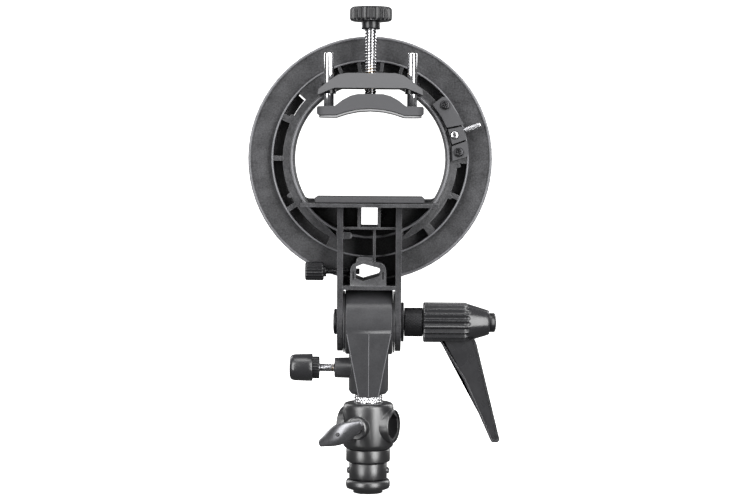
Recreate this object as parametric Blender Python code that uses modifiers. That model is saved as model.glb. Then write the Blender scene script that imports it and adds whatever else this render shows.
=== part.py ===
"""Flash bracket with an umbrella hole, on a tilt and swivel head that stands on a cast stand head.

Axes: +Z up, +Y towards the softbox side, origin on the swivel axis at the foot of the riser tube.
Sizes below are in millimetres; the shape helpers turn them into metres.
"""

import math

import bmesh
import bpy
from mathutils import Matrix, Vector

MM = 0.001
GAP = 0.3  # clearance between neighbours that touch on the real object

# Flash ring, turned about an axis along Y
RING_Z = 206.0
RIM_R = 75.0
BODY_R = 66.0
POCKET_OUT_R, POCKET_IN_R = 59.5, 53.6
LAND_R = 49.3
APERTURE_R = 46.8
REAR_Y, LAND_Y, FRONT_Y = -1.2, -0.4, 20.0
FLANGE_REAR_Y, FLANGE_FRONT_Y = 2.4, 8.0
RING_STEPS = 72
POCKET_FLOOR_Y = 12.0
GROOVE_R, GROOVE_Y = (51.0, 60.2), 14.5  # where the softbox lugs turn, behind the bayonet plate
# Pockets between the ribs: first and last angle, in degrees from +X towards +Z
POCKETS = [
    (40, 60.5), (62.5, 70), (72, 82), (84, 96), (98, 108), (110, 117),
    (137.6, 152.6), (156.5, 178.5), (181.5, 210.5), (213.5, 243.5),
    (290, 308), (313, 335), (338, 357.5),
]
SLIT_FIRST, SLIT_LAST = 137.9, 152.2  # an L-shaped slit in the floor of one pocket, in degrees
APERTURE_CORNER_R = 5.0
APERTURE_CORNER = (37.3, -19.8)  # middle of the rounded lower corner, from the ring's centre
CORNER_POCKET = [(20.6, -30.0), (37.5, -30.0), (20.6, -47.5)]  # beside the yoke, from the ring's centre

# Yoke below the ring
PLATE_IN, PLATE_OUT = 16.0, 19.5
YOKE_REAR_Y, YOKE_FRONT_Y = -20.0, 19.0
WALL_Y = 13.5
PLATFORM_HALF_X, PLATFORM_REAR_Y = 41.5, -28.0
PLATFORM_Z = (176.8, 179.0)
CROSSBAR_Z = (126.6, 129.1)
EAR_R = 18.0
UMBRELLA_Z = 137.2
UMBRELLA_HOLE = [
    (-7.6, 3.5), (-3.1, 5.3), (6.7, 2.7), (7.6, 0), (6.5, -2.4), (-3.3, -5.3), (-7.6, -3.6),
]
UMBRELLA_HOLE_X = -0.6
UMBRELLA_STUD_Y = -6.5

# Tilt pivot, along X
PIVOT_Z = 105.7
BOLT_R = 4.0
BARREL_R, BARREL_HALF_X = 20.0, 14.6
WASHER_R = 19.0

# Stand spigot and lock screw
SPIGOT_R = 8.0
SOCKET_R = 12.25
LOCK_Z = 77.2

# Flash clamp
CLAMP_Y = -14.0
CLAMP_DEPTH = 26.0
PIN_X, PIN_R = 25.2, 3.0
SCREW_R = 3.8
JAW_HALF_X, JAW_CORNER_R = 32.4, 6.0
BRIDGE_SCREW = (28.5, 247.7)  # the right-hand screw's x and z

# Cross sockets and wing screw of the stand head, turned about Z
CROSS_TURN = math.radians(23)
CROSS_Z, WING_Z = 41.8, 41.8
CROSS_R, CROSS_REACH = 10.5, 17.3
WING_TILT = math.radians(-26)

# Softbox latch, on the ring at three o'clock
LATCH_PIN = (51.6, 14.8)  # from the ring's centre
HANDLE_ANGLE = math.radians(19.3)
HANDLE_DROP = 2.4  # how far below the ring's centre the handle's axis would pass
COVER_SCREWS = {"cover_screw_upper": (45.6, 33.2), "cover_screw_lower": (54.2, 4.4)}

COLOURS = {
    "black_abs": ((0.028, 0.028, 0.03), 0.55, 0.0),
    "glass_filled_nylon": ((0.09, 0.09, 0.095), 0.5, 0.0),
    "satin_nylon": ((0.06, 0.06, 0.063), 0.4, 0.0),
    "black_knob": ((0.012, 0.012, 0.013), 0.35, 0.0),
    "black_rubber": ((0.05, 0.05, 0.052), 0.8, 0.0),
    "grey_rubber": ((0.3, 0.3, 0.3), 0.8, 0.0),
    "chrome": ((0.75, 0.75, 0.76), 0.12, 1.0),
    "zinc_steel": ((0.55, 0.55, 0.56), 0.3, 1.0),
    "satin_casting": ((0.5, 0.5, 0.51), 0.35, 1.0),
    "brass": ((0.6, 0.45, 0.2), 0.3, 1.0),
    "black_enamel": ((0.01, 0.01, 0.011), 0.12, 0.0),
    "black_steel": ((0.02, 0.02, 0.021), 0.35, 0.6),
}

TURN_TO = {
    "X": (0.0, math.radians(90), 0.0),
    "Y": (math.radians(-90), 0.0, 0.0),
    "Z": (0.0, 0.0, 0.0),
}

for old in list(bpy.data.objects):
    bpy.data.objects.remove(old, do_unlink=True)
parts = bpy.data.collections.new("umbrella_swivel_bracket")
cutters = bpy.data.collections.new("cutters")
for group in (parts, cutters):
    bpy.context.scene.collection.children.link(group)


def material(name):
    """The named material, made on first use."""
    found = bpy.data.materials.get(name)
    if found:
        return found
    colour, roughness, metallic = COLOURS[name]
    made = bpy.data.materials.new(name)
    made.use_nodes = True
    shader = made.node_tree.nodes["Principled BSDF"]
    shader.inputs["Base Color"].default_value = (*colour, 1.0)
    shader.inputs["Roughness"].default_value = roughness
    shader.inputs["Metallic"].default_value = metallic
    return made


def put(name, mesh, at=(0, 0, 0), turn=(0, 0, 0)):
    """An object of this mesh in the parts collection, at a place in millimetres."""
    obj = bpy.data.objects.new(name, mesh)
    obj.location = Vector(at) * MM
    obj.rotation_euler = turn
    parts.objects.link(obj)
    return obj


def box(name, low, high):
    """A box between two corners."""
    mesh = bpy.data.meshes.new(name)
    shape = bmesh.new()
    size = [(b - a) * MM for a, b in zip(low, high)]
    bmesh.ops.create_cube(shape, size=1.0, matrix=Matrix.Diagonal((*size, 1.0)))
    shape.to_mesh(mesh)
    shape.free()
    return put(name, mesh, [(a + b) / 2 for a, b in zip(low, high)])


def turned(name, profile, at=(0, 0, 0), axis="Z", steps=24, turn=None):
    """A turned shape from (radius, height) points that run down its outer side.

    A profile that starts and ends on the axis is solid; any other is a closed ring.
    """
    mesh = bpy.data.meshes.new(name)
    count = len(profile)
    edges = [(i, i + 1) for i in range(count - 1)]
    if profile[0][0] > 0:
        edges.append((count - 1, 0))
    mesh.from_pydata([(r * MM, 0, h * MM) for r, h in profile], edges, [])
    obj = put(name, mesh, at, TURN_TO[axis] if turn is None else turn)
    screw = obj.modifiers.new("Turn", "SCREW")
    screw.steps = screw.render_steps = steps
    screw.use_merge_vertices = True
    screw.merge_threshold = 0.00001
    return obj


def rod(name, radius, start, end, at=(0, 0, 0), axis="Z", chamfer=0.0, steps=16, turn=None):
    """A solid cylinder between two heights on its axis, with chamfered ends."""
    c = chamfer
    profile = [(0, end), (radius - c, end), (radius, end - c)]
    profile += [(radius, start + c), (radius - c, start), (0, start)]
    if not c:
        profile = [(0, end), (radius, end), (radius, start), (0, start)]
    return turned(name, profile, at, axis, steps, turn)


def sleeve(name, inner, outer, start, end, at=(0, 0, 0), axis="Z", steps=24, turn=None):
    """A plain tube between two heights on its axis."""
    profile = [(outer, end), (outer, start), (inner, start), (inner, end)]
    return turned(name, profile, at, axis, steps, turn)


def prism(name, outlines, start, end, at=(0, 0, 0), axis="Y", turn=None):
    """A flat outline, with any holes after it, extruded between two heights on an axis.

    For Y the outline is (x, z), for X it is (y, z) and for Z it is (x, y).
    """
    curve = bpy.data.curves.new(name, "CURVE")
    curve.dimensions = "2D"
    curve.fill_mode = "BOTH"
    curve.extrude = (end - start) / 2 * MM
    for outline in outlines:
        spline = curve.splines.new("POLY")
        spline.points.add(len(outline) - 1)
        for point, (x, y) in zip(spline.points, outline):
            point.co = (x * MM, y * MM, 0, 1)
        spline.use_cyclic_u = True
    drawn = bpy.data.objects.new(name, curve)
    parts.objects.link(drawn)
    view = bpy.context.evaluated_depsgraph_get()
    mesh = bpy.data.meshes.new_from_object(drawn.evaluated_get(view))
    bpy.data.objects.remove(drawn)
    bpy.data.curves.remove(curve)
    shape = bmesh.new()
    shape.from_mesh(mesh)
    bmesh.ops.remove_doubles(shape, verts=shape.verts, dist=0.000001)
    middle = (start + end) / 2
    if axis == "X":
        turn_to, shift = (math.radians(90), 0, math.radians(90)), Vector((middle, 0, 0))
    elif axis == "Y":
        turn_to, shift = (math.radians(90), 0, 0), Vector((0, middle, 0))
    else:
        turn_to, shift = (0, 0, 0), Vector((0, 0, middle))
    bmesh.ops.recalc_face_normals(shape, faces=shape.faces)
    shape.to_mesh(mesh)
    shape.free()
    obj = put(name, mesh, Vector(at) + shift, turn_to)
    if turn is not None:
        place = Matrix.Translation(Vector(at) * MM)
        obj.matrix_world = place @ turn @ Matrix.Translation((0, 0, middle * MM))
    return obj


def arc(radius, first, last, count, centre=(0, 0)):
    """Points along an arc, in degrees."""
    angles = [math.radians(first + (last - first) * i / (count - 1)) for i in range(count)]
    return [(centre[0] + radius * math.cos(a), centre[1] + radius * math.sin(a)) for a in angles]


def sector(inner, outer, first, last):
    """The outline of a piece of a ring, a point about every five degrees."""
    count = max(3, round((last - first) / 5) + 1)
    return arc(outer, first, last, count) + arc(inner, last, first, count)


def hexagon(radius):
    """A hexagon's corners."""
    return arc(radius, 0, 300, 6)


def hide(obj):
    """Moves a cutter or a joined shape to the cutters' collection."""
    parts.objects.unlink(obj)
    cutters.objects.link(obj)
    obj.hide_render = True
    obj.display_type = "WIRE"


def combine(target, other, operation):
    """Adds a Boolean with the other object, which becomes a cutter."""
    boolean = target.modifiers.new(other.name, "BOOLEAN")
    boolean.operation = operation
    boolean.object = other
    boolean.solver = "EXACT"
    hide(other)


def cut(target, *others):
    """Cuts each other shape out of the target."""
    for other in others:
        combine(target, other, "DIFFERENCE")


def join(target, *others):
    """Joins each other shape to the target."""
    for other in others:
        combine(target, other, "UNION")


def rounded(obj, width, segments=2):
    """Bevels the sharp edges of an object."""
    bevel = obj.modifiers.new("Bevel", "BEVEL")
    bevel.width = width * MM
    bevel.segments = segments
    bevel.limit_method = "ANGLE"
    bevel.angle_limit = math.radians(50)


def dress(obj, finish):
    """Gives an object its material."""
    obj.data.materials.append(material(finish))
    return obj


def joint_empty(name, at):
    """An empty on a joint's axis, which the moving pieces hang from."""
    empty = bpy.data.objects.new(name, None)
    empty.location = Vector(at) * MM
    empty.empty_display_size = 0.01
    parts.objects.link(empty)
    return empty


def hang(empty, *pieces):
    """Parents pieces to an empty without moving them."""
    for piece in pieces:
        piece.parent = empty
        piece.matrix_parent_inverse = Matrix.Translation(-empty.location)


def ring_at(y=0.0):
    """The ring's centre at a depth."""
    return (0, y, RING_Z)


def ring_frame():
    """The one-piece moulding: flash ring, flash platform, yoke, ears and umbrella holder."""
    profile = [
        (BODY_R, FRONT_Y), (BODY_R, FLANGE_FRONT_Y), (RIM_R, FLANGE_FRONT_Y), (RIM_R, 2.0),
        (74.4, 1.4), (73.8, 1.6), (73.4, FLANGE_REAR_Y), (60.6, 3.4), (60.4, -1.0), (POCKET_OUT_R, -1.0),
        (59.3, LAND_Y), (LAND_R, LAND_Y), (LAND_R - 0.2, REAR_Y), (47.2, REAR_Y), (APERTURE_R, -0.8),
        (APERTURE_R, FRONT_Y), (GROOVE_R[0], FRONT_Y), (GROOVE_R[0], GROOVE_Y), (GROOVE_R[1], GROOVE_Y),
        (GROOVE_R[1], FRONT_Y),
    ]
    frame = turned("ring_frame", profile, ring_at(), "Y", RING_STEPS)
    # The yoke's cavity is open to the rear, between the two plates
    cut(frame, box("yoke_cavity", (-17.5, -5, 120), (17.5, WALL_Y, 165)))
    corner_x, corner_z = APERTURE_CORNER
    web = [(-33.4, -28.0), (-33.4, corner_z - APERTURE_CORNER_R)]
    web += arc(APERTURE_CORNER_R, 270, 208, 6, (-corner_x, corner_z)) + arc(50.5, 208, 332, 22)
    web += arc(APERTURE_CORNER_R, 332, 270, 6, (corner_x, corner_z))
    web += [(33.4, corner_z - APERTURE_CORNER_R), (33.4, -28.0)]
    join(frame, prism("aperture_web", [web], WALL_Y, FRONT_Y - 0.5, ring_at()))
    join(frame, box("platform", (-PLATFORM_HALF_X, PLATFORM_REAR_Y, PLATFORM_Z[0]),
                    (PLATFORM_HALF_X, FRONT_Y - 0.7, PLATFORM_Z[1])))
    side = [(-25, 178), (YOKE_REAR_Y, 166), (YOKE_REAR_Y, 126), (-EAR_R, 112), (-EAR_R, PIVOT_Z)]
    side += arc(EAR_R, 190, 350, 12, (0, PIVOT_Z))
    side += [(EAR_R, PIVOT_Z), (EAR_R, 112), (YOKE_FRONT_Y, 126), (YOKE_FRONT_Y, 178)]
    join(frame, prism("left_plate", [side], -PLATE_OUT, -PLATE_IN, axis="X"))
    join(frame, prism("right_plate", [side], PLATE_IN, PLATE_OUT, axis="X"))
    join(frame, box("back_wall", (-17, WALL_Y, 127), (17, YOKE_FRONT_Y - 0.4, 177.5)))
    join(frame, box("crossbar", (-17, YOKE_REAR_Y + 0.2, CROSSBAR_Z[0]),
                    (17, YOKE_FRONT_Y - 0.2, CROSSBAR_Z[1])))
    ribs = {
        "cell_floor": ((-17, -16, 163.2), (17, 14.5, 164.6)),
        "cell_rib_left": ((-7.2, -15.8, 164.0), (-5.6, 14.5, 177.6)),
        "cell_rib_right": ((5.0, -15.8, 164.0), (6.6, 14.5, 177.6)),
        "centre_rib": ((2.2, -12, 142), (3.8, 14.5, 164.0)),
    }
    for name, (low, high) in ribs.items():
        join(frame, box(name, low, high))
    peg = [(-17, 157.2), (-12.6, 157.2)] + arc(2.1, -80, 80, 7, (-12.6, 159.3))
    peg += [(-12.6, 161.4), (-17, 161.4)]
    join(frame, prism("side_peg", [peg], -13, 14.5))
    join(frame, rod("cell_stud", 1.3, 6, 14.5, (8.4, 0, 171.2), "Y", 0.4, 12))
    holder = [(-11.5, 128.5), (10.3, 128.5)]
    holder += arc(5, 0, 90, 5, (5.3, 138.3)) + arc(5, 90, 180, 5, (-6.5, 138.3))
    join(frame, prism("umbrella_holder", [holder], YOKE_REAR_Y + 0.4, FRONT_Y - 0.9))
    lip = [(-8.0, 142.5), (1.9, 142.5), (1.9, 146.1), (-6.4, 146.1), (-7.7, 145.2)]
    join(frame, prism("umbrella_lip", [lip], -14, 14.5))
    hole = [(UMBRELLA_HOLE_X + x, UMBRELLA_Z + z) for x, z in UMBRELLA_HOLE]
    cut(frame, prism("umbrella_hole", [hole], -32, 32))
    cut(frame, box("rear_window", (-5.2, 10, 165.0), (4.8, 24, 176.2)))
    for name, x in (("holder_slot_left", -9.8), ("holder_slot_right", 8.3)):
        cut(frame, box(name, (x - 0.6, -25, 132.7), (x + 0.6, YOKE_REAR_Y + 1.6, 137.9)))
    for side_x in (-1, 1):
        corner = [(side_x * x, z) for x, z in CORNER_POCKET]
        cut(frame, prism(f"corner_pocket_{side_x}", [corner], -6, WALL_Y - 0.4, ring_at()))
    for index, (first, last) in enumerate(POCKETS):
        outline = sector(POCKET_IN_R, POCKET_OUT_R, first, last)
        cut(frame, prism(f"pocket_{index}", [outline], -6, POCKET_FLOOR_Y, ring_at()))
    slit = arc(59.2, SLIT_FIRST, SLIT_FIRST + 0.9, 2) + arc(54.5, SLIT_FIRST + 0.9, SLIT_LAST, 4)
    slit += arc(53.7, SLIT_LAST, SLIT_FIRST, 4)
    cut(frame, prism("pocket_slit", [slit], 8, 26, ring_at()))
    cut(frame, prism("latch_pocket", [sector(50.4, 59.4, 8.5, 31.5)], -6, 12, ring_at()))
    cut(frame, rod("lock_pin_hole", 2.5, 10, 26, (LATCH_PIN[0], 0, RING_Z + LATCH_PIN[1]), "Y"))
    for name, (x, z) in COVER_SCREWS.items():
        cut(frame, rod(f"{name}_hole", 1.5, -6, 8, (x, 0, RING_Z + z), "Y", steps=12))
    for side_x in (-1, 1):
        at = (side_x * BRIDGE_SCREW[0], 0, BRIDGE_SCREW[1])
        cut(frame, rod(f"bridge_screw_hole_{side_x}", 1.5, -6, 26, at, "Y", steps=12))
        cut(frame, rod(f"bridge_screw_seat_{side_x}", 2.8, 12, 26, at, "Y", steps=12))
    for name, at in plate_screw_places():
        cut(frame, rod(f"{name}_hole", 1.6, 11, 26, at, "Y", steps=12))
    cut(frame, rod("pivot_hole", BOLT_R + GAP, -30, 30, (0, 0, PIVOT_Z), "X"))
    cut(frame, rod("umbrella_stud_hole", 2.2, -30, -6, (0, UMBRELLA_STUD_Y, UMBRELLA_Z), "X", steps=16))
    return dress(frame, "black_abs")


def plate_screw_places():
    """Each bayonet plate screw's name and its place on the ring."""
    for name, angle in (("plate_screw_top", 92), ("plate_screw_left", 206), ("plate_screw_right", 336)):
        x, z = arc(62.6, angle, angle + 1, 2)[0]
        yield name, (x, 0, RING_Z + z)


def mount_plate():
    """The steel bayonet plate on the softbox side, with its three slots."""
    plate = sleeve("mount_plate", 47.6, 65.6, FRONT_Y + GAP, FRONT_Y + 1.8, ring_at(), "Y", RING_STEPS)
    for index, first in enumerate((22, 137.6, 262)):
        outline = sector(POCKET_IN_R, POCKET_OUT_R, first, first + 27)
        cut(plate, prism(f"bayonet_slot_{index}", [outline], 18, 26, ring_at()))
    cut(plate, rod("plate_lock_hole", 2.5, 18, 26, (LATCH_PIN[0], 0, RING_Z + LATCH_PIN[1]), "Y"))
    for name, at in plate_screw_places():
        cut(plate, rod(f"{name}_clearance", 1.6, 18, 26, at, "Y", steps=12))
    dress(plate, "zinc_steel")
    for name, at in plate_screw_places():
        profile = [(0, 23.4), (2.0, 23.4), (2.8, 22.7), (2.8, 22.1), (1.3, 22.1), (1.3, 12), (0, 12)]
        dress(turned(name, profile, at, "Y", 12), "black_steel")


def base_pad():
    """The rubber pad that the flash head rests on."""
    pad = box("base_pad", (-33.0, PLATFORM_REAR_Y, PLATFORM_Z[1] + GAP), (33.0, 18.0, 183.0))
    rounded(pad, 0.6, 1)
    return dress(pad, "black_rubber")


def clamp_bridge():
    """The cast bridge that carries the main screw and guides the jaw, screwed to the ring."""
    half = [(14.5, 257.3), (19.5, 256.2), (25.0, 252.6), (31.2, 247.6)]
    half += [(31.6, 244.2), (27.6, 246.0), (21.5, 248.4)]
    outline = half + [(-x, z) for x, z in reversed(half)]
    rear = CLAMP_Y - CLAMP_DEPTH / 2
    bridge = prism("clamp_bridge", [outline], rear, REAR_Y - 0.4)
    cut(bridge, rod("insert_hole", 5.8, 240, 265, (0, CLAMP_Y, 0), "Z", steps=24))
    for side in (-1, 1):
        cut(bridge, rod(f"bush_hole_{side}", 4.8, 240, 262, (side * PIN_X, CLAMP_Y, 0), "Z", steps=20))
        at = (side * BRIDGE_SCREW[0], 0, BRIDGE_SCREW[1])
        cut(bridge, rod(f"bridge_thread_{side}", 1.5, -10, 5, at, "Y", steps=12))
    dress(bridge, "glass_filled_nylon")
    dress(sleeve("clamp_insert", SCREW_R + GAP, 5.5, 248.6, 257.1, (0, CLAMP_Y, 0), steps=16), "brass")
    for side, word in ((-1, "left"), (1, "right")):
        at = (side * PIN_X, CLAMP_Y, 0)
        bush = sleeve(f"guide_bush_{word}", PIN_R + 0.1, 4.5, 245.2, 251.6, at, steps=16)
        dress(bush, "black_knob")
        profile = [(0, 14.6), (2.4, 14.6), (2.4, 12.3), (1.2, 12.3), (1.2, -9.5), (0, -9.5)]
        at = (side * BRIDGE_SCREW[0], 0, BRIDGE_SCREW[1])
        dress(turned(f"bridge_screw_{word}", profile, at, "Y", 12), "black_steel")


def jaw_plan(half_x, rear, front):
    """The jaw's outline from above, with rounded corners."""
    r = JAW_CORNER_R
    points = arc(r, 0, 90, 5, (half_x - r, front - r)) + arc(r, 90, 180, 5, (r - half_x, front - r))
    points += arc(r, 180, 270, 5, (r - half_x, rear + r))
    return points + arc(r, 270, 360, 5, (half_x - r, rear + r))


def clamp_jaw():
    """The sliding jaw with its pad and its two guide pins."""
    top = [(7.5, 244.8), (12.0, 243.7), (16.8, 241.1), (21.3, 237.6), (31.6, 237.4), (JAW_HALF_X, 236.4)]
    under = [(0, 236.2), (8.0, 235.6), (14.5, 234.2), (20.5, 232.2), (31.2, 232.2), (JAW_HALF_X, 233.2)]
    half = top + list(reversed(under))
    outline = half[:-1] + [(-x, z) for x, z in reversed(half[:-1])]
    outline.insert(len(half) - 1, under[0])
    rear, front = CLAMP_Y - CLAMP_DEPTH / 2 - 1, CLAMP_Y + CLAMP_DEPTH / 2 - 1.5
    jaw = prism("clamp_jaw", [outline], rear, front)
    plan = jaw_plan(JAW_HALF_X - 0.2, rear + 0.2, front - 0.2)
    combine(jaw, prism("jaw_plan", [plan], 225, 250, axis="Z"), "INTERSECT")
    cut(jaw, rod("screw_seat", SCREW_R + 0.4, 239.4, 250, (0, CLAMP_Y, 0), "Z"))
    lower = [(x, z - GAP) for x, z in under[:-1]]
    lower += [(x, z - GAP - 1.1) for x, z in reversed(under[:-1])]
    lower += [(-x, z - GAP - 1.1) for x, z in under[1:-1]]
    lower += [(-x, z - GAP) for x, z in reversed(under[1:-1])]
    pad = prism("jaw_pad", [lower], rear + 0.4, front - 0.4)
    plan = jaw_plan(JAW_HALF_X - 1.4, rear + 0.7, front - 0.7)
    combine(pad, prism("pad_plan", [plan], 225, 250, axis="Z"), "INTERSECT")
    pins = []
    for side, word in ((-1, "left"), (1, "right")):
        at = (side * PIN_X, CLAMP_Y, 0)
        cut(jaw, rod(f"pin_seat_{word}", PIN_R + GAP, 233.4, 245, at, "Z"))
        pins.append(dress(rod(f"guide_pin_{word}", PIN_R, 233.7, 270.3, at, "Z", 0.5, 16), "chrome"))
    slide = joint_empty("jaw_slide_axis", (0, CLAMP_Y, 244.8))
    hang(slide, dress(jaw, "satin_nylon"), dress(pad, "grey_rubber"), *pins)
    turn = joint_empty("clamp_screw_axis", (0, CLAMP_Y, 284.2))
    screw = dress(rod("clamp_screw", SCREW_R, 239.8, 294.0, (0, CLAMP_Y, 0), "Z", 0.5, 16), "zinc_steel")
    profile = [(0, 297.6), (11.6, 297.6), (12.8, 296.4), (12.8, 290.2), (11.6, 288.9),
               (5.7, 288.9), (5.7, 284.2), (SCREW_R + GAP, 284.2), (SCREW_R + GAP, 294.3),
               (0, 294.3)]
    knob = turned("clamp_knob", profile, (0, CLAMP_Y, 0), steps=24)
    hang(turn, screw, dress(knob, "black_knob"))


def latch():
    """The softbox latch: two covers with screws, the slider, its handle pin, lock pin and spring."""
    upper = [(37.9, 33.4), (44.0, 38.2), (45.6, 37.9), (48.4, 35.4)]
    upper += [(57.4, 21.4), (46.8, 19.4), (43.5, 26.0)]
    lower = [(49.9, 8.0), (59.4, 11.5), (60.2, 3.4), (59.0, 1.6), (50.5, -1.0), (50.3, 3.6)]
    for name, outline in (("upper", upper), ("lower", lower)):
        cover = prism(f"latch_cover_{name}", [outline], -4.2, -1.5, ring_at())
        x, z = COVER_SCREWS[f"cover_screw_{name}"]
        at = (x, 0, RING_Z + z)
        cut(cover, rod(f"cover_hole_{name}", 1.5, -6, 2, at, "Y", steps=12))
        dress(cover, "satin_nylon")
        profile = [(0, 6), (1.2, 6), (1.2, -4.5), (3.0, -4.5), (3.0, -5.1), (2.5, -5.6), (0, -5.6)]
        dress(turned(f"cover_screw_{name}", profile, at, "Y", 12), "black_steel")
    pin_at = (LATCH_PIN[0], 0, RING_Z + LATCH_PIN[1])
    slide = joint_empty("latch_axis", pin_at)
    plate = [(47.5, 18.4), (56.2, 20.0), (58.3, 14.9), (58.7, 12.2), (50.1, 9.1), (49.2, 13.0)]
    slider = prism("latch_slider", [plate], -4.9, -1.6, ring_at())
    join(slider, prism("slider_body", [sector(50.7, 58.9, 11.8, 20.4)], -2.2, 10, ring_at()))
    join(slider, prism("slider_foot", [sector(51.1, 58.7, 19.4, 30.2)], 6, 9.7, ring_at()))
    cut(slider, rod("lock_pin_seat", 2.4, 2.5, 20, pin_at, "Y", steps=20))
    cut(slider, rod("latch_screw_hole", 1.7, -8, 5, pin_at, "Y", steps=12))
    cut(slider, rod("latch_screw_sink", 2.7, -8, -3.4, pin_at, "Y", steps=20))
    handle_turn = (0, math.radians(90) - HANDLE_ANGLE, 0)
    handle_at = (0, -3.2, RING_Z - HANDLE_DROP)
    cut(slider, rod("handle_seat", 1.3, 57.3, 70, handle_at, steps=12, turn=handle_turn))
    profile = [(0, 71.6), (1.2, 71.6), (1.7, 71.1), (1.7, 61.7), (1.0, 61.3), (1.0, 57.6), (0, 57.6)]
    handle = dress(turned("latch_handle_pin", profile, handle_at, steps=12, turn=handle_turn), "zinc_steel")
    profile = [(0, 2.9), (1.4, 2.9), (1.4, -3.7), (2.4, -3.7), (2.4, -5.4), (1.2, -5.4),
               (1.1, -4.4), (0, -4.4)]
    screw = dress(turned("latch_screw", profile, pin_at, "Y", 12), "chrome")
    lock = [(0, 25.0), (1.6, 25.0), (2.1, 24.4), (2.1, 3.2), (0, 3.2)]
    lock_pin = dress(turned("lock_pin", lock, pin_at, "Y", 12), "zinc_steel")
    spring_x, spring_z = arc(54.9, 25.6, 26, 2)[0]
    spring = coil("latch_spring", (spring_x, -0.9, RING_Z + spring_z), "Y", 2.0, 0.35, 6.3, 3)
    hang(slide, dress(slider, "satin_nylon"), handle, screw, lock_pin, dress(spring, "zinc_steel"))


def coil(name, at, axis, radius, wire, length, turns, points_a_turn=8):
    """A compression spring of round wire that starts at a place and runs along an axis."""
    curve = bpy.data.curves.new(name, "CURVE")
    curve.dimensions = "3D"
    curve.bevel_depth = wire * MM
    curve.bevel_resolution = 2
    curve.use_fill_caps = True
    spline = curve.splines.new("POLY")
    count = turns * points_a_turn + 1
    spline.points.add(count - 1)
    for i, point in enumerate(spline.points):
        angle = 2 * math.pi * i / points_a_turn
        height = wire + (length - 2 * wire) * i / (count - 1)
        point.co = (radius * math.cos(angle) * MM, radius * math.sin(angle) * MM, height * MM, 1)
    obj = bpy.data.objects.new(name, curve)
    obj.location = Vector(at) * MM
    obj.rotation_euler = TURN_TO[axis]
    parts.objects.link(obj)
    return obj


def umbrella_lock():
    """The small fluted screw that holds an umbrella shaft in its hole."""
    at = (0, UMBRELLA_STUD_Y, UMBRELLA_Z)
    slide = joint_empty("umbrella_lock_axis", at)
    tip = dress(rod("umbrella_tip", 1.8, -8.0, -5.9, at, "X", 0.3, 16), "black_steel")
    stud = dress(rod("umbrella_stud", 1.9, -33.0, -8.3, at, "X", 0.3, 16), "black_steel")
    profile = [(0, -33.3), (2.2, -33.3), (2.2, -26.4), (3.4, -26.4), (3.4, -27.9), (5.2, -27.9),
               (5.7, -28.6), (5.7, -38.4), (5.2, -39.2), (0, -39.2)]
    knob = turned("umbrella_knob", profile, at, "X", 16)
    hang(slide, tip, stud, dress(knob, "black_knob"))


def pivot():
    """The tilt pivot: bolt, washers, and the ratchet lever that clamps it."""
    at = (0, 0, PIVOT_Z)
    head = [(0, 38.2), (BOLT_R, 38.2), (BOLT_R, -19.8), (7.9, -19.8), (7.9, -20.5),
            (6.4, -21.6), (0, -22.0)]
    dress(turned("pivot_bolt", head, at, "X", 20), "black_steel")
    dress(sleeve("ear_washer", 4.4, 12.15, 19.8, 21.4, at, "X", 28), "black_steel")
    lever_axis = joint_empty("lever_axis", at)
    core = [(6.0, 43.0), (6.0, 33.1), (8.5, 33.1), (8.95, 32.6), (8.95, 22.2), (8.5, 21.7),
            (4.3, 21.7), (4.3, 38.6), (2.7, 38.6), (2.7, 43.0)]
    ratchet = turned("ratchet_sleeve", core, at, "X", 20)
    join(ratchet, prism("ratchet_hex", [hexagon(7.5), arc(3.3, 0, 330, 12)], 40.9, 45.0, at, "X"))
    cap = [(0, 78.4), (4.4, 78.0), (5.7, 76.8), (5.9, 75.6), (5.9, 72.0), (2.4, 72.0),
           (2.4, 40.0), (0, 40.0)]
    lever_cap = turned("lever_cap", cap, at, "X", 20)
    hang(lever_axis, dress(ratchet, "black_steel"), dress(lever_cap, "black_knob"))
    hub = [(6.8, 74.0), (7.6, 73.4), (10.6, 66.0), (12.0, 61.2), (12.3, 60.2), (12.3, 34.6), (11.4, 33.4),
           (8.3, 33.4), (8.3, 41.2), (6.0, 41.2), (6.0, 50.0), (3.0, 50.0), (3.0, 56.5),
           (6.3, 56.5), (6.3, 74.0)]
    lever = turned("lever_handle", hub, at, "X", 28)
    cut(lever, prism("hex_socket", [hexagon(7.95)], 41.0, 49.0, at, "X"))
    arm = [(43.6, 96.4), (64.0, 96.4), (66.0, 93.0), (81.0, 34.0), (80.4, 32.0), (75.9, 32.0), (75.2, 33.2),
           (58.5, 72.0), (43.6, 94.0)]
    join(lever, prism("lever_arm", [arm], -4.0, 4.0))
    inner = [(50.5, 91.6), (64.9, 91.6), (79.6, 34.2), (76.7, 34.2), (60.3, 72.6)]
    cut(lever, prism("arm_recess_rear", [inner], -6.0, -3.0))
    cut(lever, prism("arm_recess_front", [inner], 3.0, 6.0))
    spring = coil("lever_spring", (56.8, 0, PIVOT_Z), "X", 4.3, 0.5, 14.9, 4)
    hang(lever_axis, dress(lever, "satin_nylon"), dress(spring, "zinc_steel"))


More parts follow.
